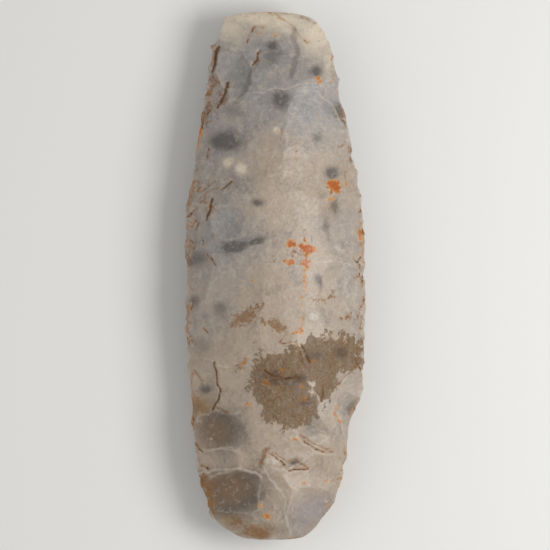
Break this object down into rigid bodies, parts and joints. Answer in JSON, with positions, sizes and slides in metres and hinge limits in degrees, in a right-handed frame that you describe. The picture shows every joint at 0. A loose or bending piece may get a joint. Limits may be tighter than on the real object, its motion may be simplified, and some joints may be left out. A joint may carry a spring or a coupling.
{
  "type": "flint axe head",
  "caption": "Flaked flint axe head with a lens-shaped section, scarred faces, a winding sharp margin, a thin cutting edge and a thick rounded butt.",
  "frame": {"origin": "middle of the outline, in the plane of the worn flat on the back face that the stone lies on", "axes": "+Y from the butt to the cutting edge, +X to the right as seen from the front face, +Z out of the front face"},
  "size_m": [0.0626, 0.1801, 0.0288],
  "materials": {
    "flint": "satin"
  },
  "bodies": {
    "root": {"flint_axe_head": "flint"}
  },
  "joints": []
}
